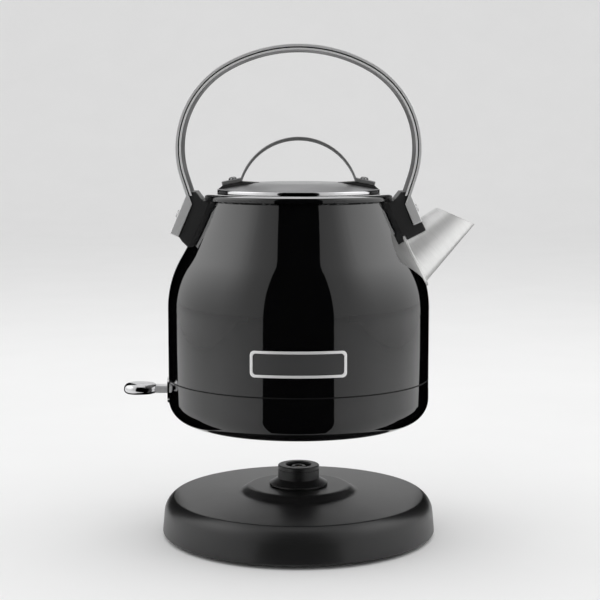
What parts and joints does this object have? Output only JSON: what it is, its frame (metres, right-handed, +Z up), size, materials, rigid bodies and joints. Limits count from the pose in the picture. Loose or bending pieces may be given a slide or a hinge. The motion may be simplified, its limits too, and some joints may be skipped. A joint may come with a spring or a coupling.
{
  "type": "electric kettle",
  "caption": "Dome-shouldered electric kettle with loop handle, lift-off lid, conical spout and switch lever, lifted off its round power base.",
  "frame": {"origin": "on the kettle's axis, on the table under the power base's feet", "axes": "+Z up along the axis, +X towards the spout, -Y the front with the badge"},
  "size_m": [0.2151, 0.17, 0.2997],
  "materials": {
    "gloss_black": "gloss",
    "bare_steel": "satin",
    "polished_steel": "polished",
    "brushed_spout": "brushed",
    "handle_metal": "satin",
    "dark_core": "matte",
    "black_plastic": "satin",
    "base_plastic": "satin",
    "lever_chrome": "polished",
    "badge_field": "satin",
    "inner_plastic": "matte",
    "spreader_metal": "matte",
    "contact_brass": "satin",
    "silicone": "matte",
    "foot_rubber": "matte",
    "fastener_steel": "satin"
  },
  "bodies": {
    "base": {"base_cover": "base_plastic", "base_plate": "base_plastic", "base_feet": "foot_rubber", "base_screws": "fastener_steel", "cord_gland": "foot_rubber", "base_boss": "base_plastic", "boss_post": "base_plastic", "boss_contact_pin": "contact_brass", "boss_contact_rings": "contact_brass", "terminal_tabs": "contact_brass"},
    "socket": {"connector_socket": "black_plastic"},
    "kettle": {"vessel_shell": "gloss_black", "lower_shell": "gloss_black", "seam_gasket": "silicone", "neck_ring": "polished_steel", "spout": "brushed_spout", "handle_band": "handle_metal", "handle_core": "dark_core", "handle_liner": "handle_metal", "left_bracket": "black_plastic", "right_bracket": "black_plastic", "bracket_studs": "fastener_steel", "handle_screws": "fastener_steel", "badge_frame": "polished_steel", "badge_plate": "badge_field", "vessel_floor": "bare_steel", "heat_spreader": "spreader_metal", "heating_element": "bare_steel", "element_pins": "fastener_steel", "steam_tube": "bare_steel", "control_housing": "inner_plastic", "control_cap": "inner_plastic", "control_screws": "fastener_steel", "bimetal_discs": "contact_brass", "bottom_cover": "black_plastic", "cover_screws": "fastener_steel", "lever_pin": "fastener_steel", "switch_carrier": "inner_plastic", "switch_bezel": "lever_chrome"},
    "lid": {"lid_cap": "polished_steel", "lid_plug": "bare_steel", "lid_seal": "silicone", "lid_handle": "handle_metal", "lid_pads": "black_plastic", "lid_screws": "fastener_steel", "lid_nuts": "fastener_steel"},
    "lever": {"lever_paddle": "lever_chrome", "lever_arm": "black_plastic"},
    "plunger": {"trip_plunger": "inner_plastic"},
    "filter": {"filter_frame": "inner_plastic", "filter_mesh": "bare_steel"}
  },
  "joints": [
    {"name": "kettle_turn", "type": "hinge", "parent": "kettle", "child": "socket", "pos_m": [0, 0, 0.07025], "axis": [0, 0, 1], "continuous": true},
    {"name": "base_dock", "type": "slide", "parent": "socket", "child": "base", "axis": [0, 0, 1], "range_m": [0, 0.0446]},
    {"name": "lid_lift", "type": "slide", "parent": "kettle", "child": "lid", "axis": [0, 0, 1], "range_m": [0, 0.045]},
    {"name": "lever_press", "type": "hinge", "parent": "kettle", "child": "lever", "pos_m": [-0.068, 0, 0.09025], "axis": [0, -1, 0], "range_deg": [0, 12]},
    {"name": "trip_push", "type": "slide", "parent": "kettle", "child": "plunger", "axis": [0, 0, 1], "range_m": [0, 0.0021]},
    {"name": "filter_pull", "type": "slide", "parent": "kettle", "child": "filter", "axis": [-0.7472, 0, -0.6646], "range_m": [0, 0.02]}
  ],
  "couplings": [
    {"joint": "trip_push", "follows": "lever_press", "m_per_rad": 0.0098}
  ]
}
